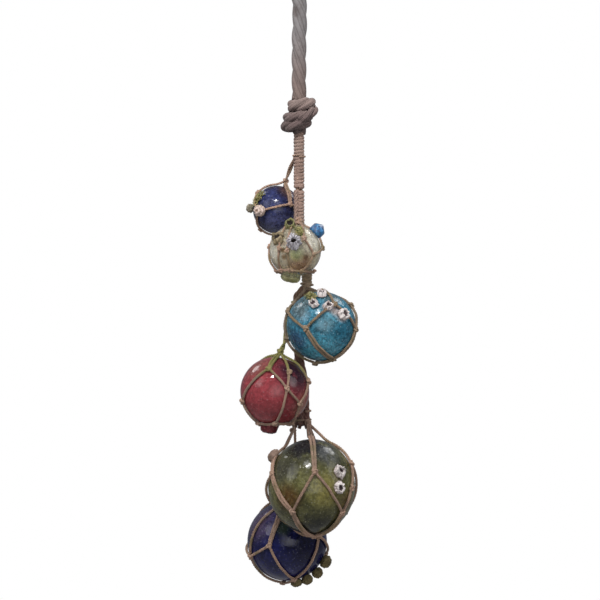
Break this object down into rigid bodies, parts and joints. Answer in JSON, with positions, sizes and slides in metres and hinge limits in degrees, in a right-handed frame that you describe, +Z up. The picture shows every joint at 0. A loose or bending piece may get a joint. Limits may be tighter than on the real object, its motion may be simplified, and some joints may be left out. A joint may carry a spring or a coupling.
{
  "type": "string of netted glass float balls",
  "caption": "Hanging string of hollow glass float balls in knotted nets, tied round one rope with an eye at its top and shells and moss on the glass.",
  "frame": {"origin": "inside top of the eye in the rope, where the string hangs on a hook", "axes": "+Z up along the rope; -Y the front that the picture shows; +X to the right of the front"},
  "size_m": [0.1688, 0.2367, 1.0315],
  "materials": {
    "rope": "laid three-strand rope, weathered grey-brown, matt",
    "old_rope": "dark brown opened strands, matt",
    "serving": "pinkish tan twine wound close, matt",
    "twine": "twisted tan net twine, weathered, matt",
    "grey_twine": "twisted grey-green net twine, weathered, matt",
    "cobalt_glass": "cobalt blue hand-blown glass, glossy",
    "clear_glass": "clear, faintly green hand-blown glass with a seal button, glossy",
    "turquoise_glass": "turquoise hand-blown glass with bubbles, glossy",
    "red_glass": "cranberry red hand-blown glass with a dark seal button, glossy",
    "olive_glass": "olive green hand-blown glass with amber in its edge, glossy",
    "navy_glass": "near-black navy hand-blown glass, glossy",
    "grey_shell": "rough grey-green barnacle shell, matt",
    "pink_shell": "rough pinkish white barnacle shell, matt",
    "green_shell": "rough olive green barnacle shell, matt",
    "beige_shell": "porous beige barnacle shell, matt",
    "silver_shell": "silver lavender barnacle shell, satin",
    "blue_shell": "azure faceted barnacle, glossy",
    "white_shell": "chalky white barnacle shell, matt",
    "brown_shell": "knobbly olive brown barnacle shell, matt",
    "moss": "dry yellow-green moss, matt"
  },
  "bodies": {
    "root": {"hanging_rope": "rope", "eye_seizing": "serving", "stopper_knot": "rope", "core_rope": "old_rope", "serving_upper": "serving", "serving_middle": "serving", "serving_lower": "serving", "strand_bundle": "old_rope", "cobalt_float": "cobalt_glass", "cobalt_float_net": "twine", "grey_barnacle": "grey_shell", "pink_barnacle": "pink_shell", "cobalt_float_moss": "moss", "clear_float": "clear_glass", "clear_float_net": "twine", "green_barnacle": "green_shell", "beige_barnacle": "beige_shell", "silver_barnacle": "silver_shell", "blue_barnacle": "blue_shell", "clear_float_moss": "moss", "turquoise_float": "turquoise_glass", "turquoise_float_net": "grey_twine", "white_barnacle_1": "white_shell", "white_barnacle_2": "white_shell", "white_barnacle_3": "white_shell", "white_barnacle_4": "white_shell", "turquoise_float_moss": "moss", "red_float": "red_glass", "red_float_net": "twine", "olive_float": "olive_glass", "olive_float_net": "twine", "white_barnacle_5": "white_shell", "white_barnacle_6": "white_shell", "brown_barnacle_1": "brown_shell", "navy_float": "navy_glass", "navy_float_net": "twine", "brown_barnacle_2": "brown_shell", "brown_barnacle_3": "brown_shell", "brown_barnacle_4": "brown_shell", "brown_barnacle_5": "brown_shell"}
  },
  "joints": []
}
